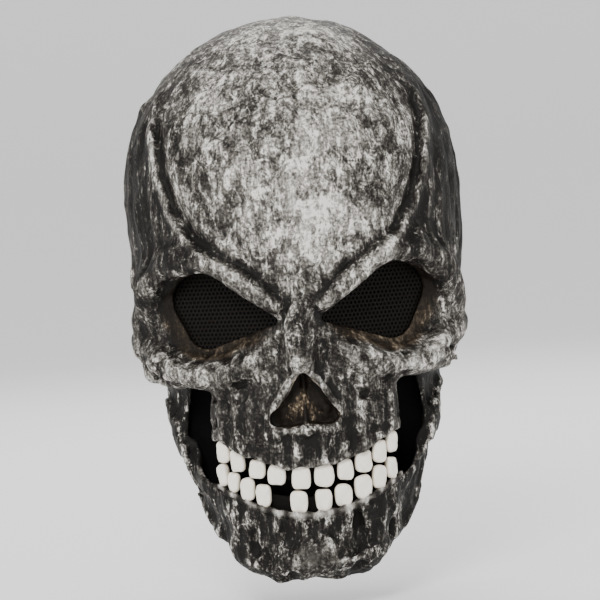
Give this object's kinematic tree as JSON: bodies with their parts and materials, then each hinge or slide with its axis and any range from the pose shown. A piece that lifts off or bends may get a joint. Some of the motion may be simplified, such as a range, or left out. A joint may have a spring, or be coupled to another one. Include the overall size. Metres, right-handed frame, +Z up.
{
  "type": "latex halloween mask",
  "caption": "Open-backed latex skull mask with perforated eye panels, separate teeth, a jaw that swings open at the ears and an elastic harness with sliding adjusters.",
  "frame": {"origin": "centre of the wearer's head, on the vertical axis of the head form, where the mount wearer_head is", "axes": "+Z up, the face looks along -Y, +X to the right of someone facing the mask"},
  "size_m": [0.2, 0.1948, 0.328],
  "materials": {
    "latex": "matte black latex dry-brushed with grey and off-white",
    "tooth": "cream painted latex with a soft gloss",
    "gum": "matte black latex",
    "eye_mesh": "matte black perforated sheet, with thin black cloth behind it",
    "retainer": "matte black",
    "elastic": "woven black elastic",
    "webbing": "woven black webbing",
    "hardware": "nickel-plated steel",
    "slider": "black moulded plastic",
    "foam": "dark grey foam with a cloth face",
    "cloth": "matte black stretch cloth",
    "pivot": "black nylon rivet"
  },
  "bodies": {
    "skull": {"crown_strap": "elastic", "eye_mesh_left": "eye_mesh", "eye_mesh_right": "eye_mesh", "forehead_pad": "foam", "jaw_pivot_left": "pivot", "jaw_pivot_right": "pivot", "left_strap": "elastic", "mesh_retainer_left": "retainer", "mesh_retainer_right": "retainer", "pivot_spacer_left": "pivot", "pivot_spacer_right": "pivot", "pivot_washer_left": "pivot", "pivot_washer_right": "pivot", "rear_pad": "foam", "right_strap": "elastic", "skull_shell": "latex", "strap_ring_crown": "hardware", "strap_ring_left": "hardware", "strap_ring_right": "hardware", "strap_rivets": "hardware", "strap_tab_crown": "webbing", "strap_tab_left": "webbing", "strap_tab_right": "webbing", "strap_washers": "hardware", "temple_pad_left": "foam", "temple_pad_right": "foam", "upper_gum_strip": "gum", "upper_tooth_01": "tooth", "upper_tooth_02": "tooth", "upper_tooth_03": "tooth", "upper_tooth_04": "tooth", "upper_tooth_05": "tooth", "upper_tooth_06": "tooth", "upper_tooth_07": "tooth", "upper_tooth_08": "tooth", "upper_tooth_09": "tooth", "upper_tooth_10": "tooth"},
    "jaw": {"chin_pad": "foam", "jaw_shell": "latex", "lower_gum_strip": "gum", "lower_tooth_01": "tooth", "lower_tooth_02": "tooth", "lower_tooth_03": "tooth", "lower_tooth_04": "tooth", "lower_tooth_05": "tooth", "lower_tooth_06": "tooth", "lower_tooth_07": "tooth", "lower_tooth_08": "tooth", "lower_tooth_09": "tooth", "lower_tooth_10": "tooth", "mouth_cloth": "cloth"},
    "left_adjuster": {"slider_left": "slider"},
    "right_adjuster": {"slider_right": "slider"},
    "crown_adjuster": {"slider_crown": "slider"}
  },
  "joints": [
    {"name": "jaw_hinge", "type": "hinge", "parent": "skull", "child": "jaw", "pos_m": [0, 0.005, -0.038], "axis": [1, 0, 0], "range_deg": [0, 12], "stiffness_Nm_per_rad": 0.15, "springref_deg": -28.65},
    {"name": "slider_left_travel", "type": "hinge", "parent": "skull", "child": "left_adjuster", "pos_m": [0, 0, 0], "axis": [0, 0, -1], "range_deg": [0, 20]},
    {"name": "slider_right_travel", "type": "hinge", "parent": "skull", "child": "right_adjuster", "pos_m": [0, 0, 0], "axis": [0, 0, 1], "range_deg": [0, 20]},
    {"name": "slider_crown_travel", "type": "hinge", "parent": "skull", "child": "crown_adjuster", "pos_m": [0, 0, 0.05], "axis": [-1, 0, 0], "range_deg": [0, 20]}
  ]
}
